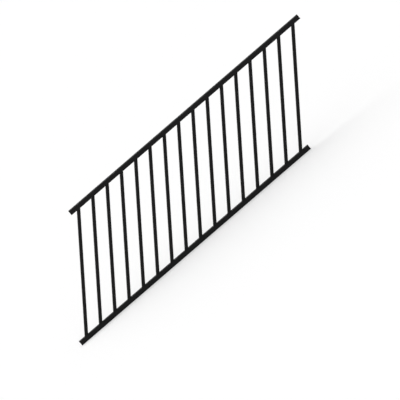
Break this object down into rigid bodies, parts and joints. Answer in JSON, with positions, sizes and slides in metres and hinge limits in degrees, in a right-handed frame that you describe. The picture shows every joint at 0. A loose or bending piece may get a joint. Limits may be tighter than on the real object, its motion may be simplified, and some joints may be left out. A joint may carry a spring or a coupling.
{
  "type": "stair railing panel",
  "caption": "Raked stair railing panel: plumb square pickets slotted into two sloping square-tube rails whose plugged ends fasten between posts.",
  "frame": {"origin": "middle of the low end face of the bottom rail", "axes": "+X level and up the stair, +Y through the panel away from the viewer, +Z plumb up the pickets"},
  "size_m": [1.508, 0.028, 1.9134],
  "materials": {
    "powder_coated_aluminium": "black powder coat with a fine texture, matt",
    "black_nylon": "moulded black nylon, matt"
  },
  "bodies": {
    "root": {"bottom_rail": "powder_coated_aluminium", "top_rail": "powder_coated_aluminium", "picket_01": "powder_coated_aluminium", "picket_02": "powder_coated_aluminium", "picket_03": "powder_coated_aluminium", "picket_04": "powder_coated_aluminium", "picket_05": "powder_coated_aluminium", "picket_06": "powder_coated_aluminium", "picket_07": "powder_coated_aluminium", "picket_08": "powder_coated_aluminium", "picket_09": "powder_coated_aluminium", "picket_10": "powder_coated_aluminium", "picket_11": "powder_coated_aluminium", "picket_12": "powder_coated_aluminium", "picket_13": "powder_coated_aluminium", "picket_14": "powder_coated_aluminium", "picket_15": "powder_coated_aluminium", "picket_16": "powder_coated_aluminium", "bottom_rail_low_plug": "black_nylon", "bottom_rail_high_plug": "black_nylon", "top_rail_low_plug": "black_nylon", "top_rail_high_plug": "black_nylon"}
  },
  "joints": []
}
